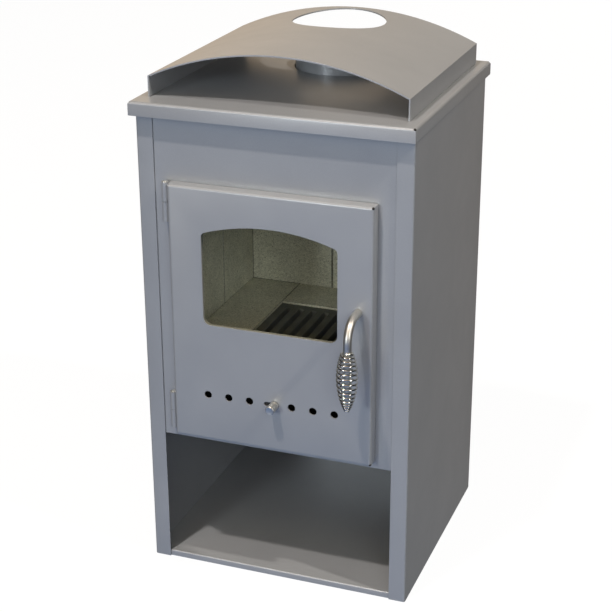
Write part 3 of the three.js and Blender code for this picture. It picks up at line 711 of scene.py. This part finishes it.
def camera():
    """The view from the front right and a little above."""
    forward = Vector((
        math.sin(CAMERA_YAW) * math.cos(CAMERA_PITCH),
        math.cos(CAMERA_YAW) * math.cos(CAMERA_PITCH),
        -math.sin(CAMERA_PITCH),
    ))
    level = Vector((math.cos(CAMERA_YAW), -math.sin(CAMERA_YAW), 0))
    above = level.cross(forward)
    right = level * math.cos(CAMERA_ROLL) + above * math.sin(CAMERA_ROLL)
    up = above * math.cos(CAMERA_ROLL) - level * math.sin(CAMERA_ROLL)
    lens = bpy.data.cameras.new("camera")
    lens.lens = CAMERA_LENS
    lens.shift_x, lens.shift_y = CAMERA_SHIFT
    lens.clip_end = 100
    made = bpy.data.objects.new("camera", lens)
    turn = Matrix((right, up, -forward)).transposed().to_4x4()
    made.matrix_world = Matrix.Translation(CAMERA_PLACE) @ turn
    bpy.context.scene.collection.objects.link(made)
    bpy.context.scene.camera = made


# ---- stage ---------------------------------------------------------------------------------------
FLOOR_REACH = 30


def floor():
    """A white floor, which gets nearly all its brightness from its own glow."""
    mesh = bpy.data.meshes.new("floor")
    corners = [(x * FLOOR_REACH, y * FLOOR_REACH, 0) for x, y in ((-1, -1), (1, -1), (1, 1), (-1, 1))]
    mesh.from_pydata(corners, [], [(0, 1, 2, 3)])
    made = bpy.data.objects.new("floor", mesh)
    bpy.context.scene.collection.objects.link(made)
    paper = bpy.data.materials.new("floor")
    paper.use_nodes = True
    shader = paper.node_tree.nodes["Principled BSDF"]
    shader.inputs["Base Color"].default_value = (0.06, 0.06, 0.06, 1)
    shader.inputs["Roughness"].default_value = 0.9
    shader.inputs["Specular IOR Level"].default_value = 0.0
    shader.inputs["Emission Color"].default_value = (1, 1, 1, 1)
    shader.inputs["Emission Strength"].default_value = 0.95
    mesh.materials.append(paper)
    # The sky lights the stove from below as well, so the floor is only there to be looked at.
    made.visible_diffuse = False
    made.visible_glossy = False
    made.visible_shadow = False


PANEL_DISTANCE = 6
# Each panel: where it is seen from the stove, its width in metres, its power in watts, its colour, whether
# it lights surfaces, and whether they mirror it. A broad one stands for a whole bright room, so it has no
# edges to mirror.
PANELS = (
    ("front_low", (-0.26, -0.935, 0.242), 1.1, 104, (0.86, 0.935, 0.97), True, True),
    ("right_softbox", (0.45, -0.83, 0.34), 2.8, 98, (0.88, 0.955, 0.98), True, False),
    ("right_window", (0.82, -0.55, 0.3), 1.1, 85, (1.0, 0.99, 0.97), False, True),
    ("high_key", (-0.13, -0.41, 0.9), 0.22, 190, (1.0, 0.915, 0.85), True, True),
    ("cross", (0.625, -0.17, 0.76), 0.15, 155, (1.0, 0.93, 0.84), True, True),
    ("back_softbox", (0.2, 0.95, 0.2), 2.8, 84, (1.0, 0.98, 0.95), True, False),
)
PANEL_TARGET = Vector((0, 0, 0.4))


def panel_light(name, offset, size, power, colour, lighting, mirrored):
    """A square area light that faces the middle of the stove."""
    light = bpy.data.lights.new(name, "AREA")
    light.size = size
    light.energy = power
    light.color = colour
    made = bpy.data.objects.new(name, light)
    made.visible_diffuse = lighting
    made.visible_glossy = mirrored
    made.location = PANEL_TARGET + offset
    made.rotation_euler = (-offset).to_track_quat("-Z", "Y").to_euler()
    bpy.context.scene.collection.objects.link(made)


# Each lobe of the sky: where it is brightest, how narrow it is, and its colour at full strength.
SKY_LOBES = {
    "front": ((0, -1, 0), 2, (0.11, 0.1, 0.13)),
    "front_below": ((0, -1, -1), 4, (0.0, 0.11, 0.37)),
    "front_above": ((0, -1, 1), 8, (0.88, 0.64, 0.31)),
    "behind": ((0, 1, 0), 2, (0.22, 0.19, 0.16)),
    "behind_above": ((0, 1, 1), 8, (0.24, 0.22, 0.18)),
    "back_left": ((-1, 1, 0.3), 8, (0.92, 0.69, 0.45)),
    "below": ((0, 0, -1), 2, (0.19, 0.25, 0.32)),
}


def sky():
    """Soft light from all round. A camera sees it as white as the floor, so no horizon shows."""
    world = bpy.data.worlds.new("sky")
    world.use_nodes = True
    bpy.context.scene.world = world
    tree = world.node_tree
    direction = add(tree, "ShaderNodeTexCoord").outputs["Generated"]
    total = None
    for axis, narrow, colour in SKY_LOBES.values():
        towards = {0: direction, 1: Vector(axis).normalized()}
        facing = vector_maths(tree, "DOT_PRODUCT", "Value", towards)
        lobe = maths(tree, "POWER", maths(tree, "MAXIMUM", facing, 0.0), narrow)
        scaled = vector_maths(tree, "SCALE", "Vector", {0: colour, "Scale": lobe})
        total = scaled if total is None else vector_maths(tree, "ADD", "Vector", {0: total, 1: scaled})
    looked_at = add(tree, "ShaderNodeLightPath").outputs["Is Camera Ray"]
    tree.links.new(mixed(tree, looked_at, total, (1, 1, 1)), tree.nodes["Background"].inputs["Color"])


camera()
floor()
sky()
for name, direction, *rest in PANELS:
    panel_light(name, Vector(direction).normalized() * PANEL_DISTANCE, *rest)

bpy.context.scene.view_settings.view_transform = "Standard"
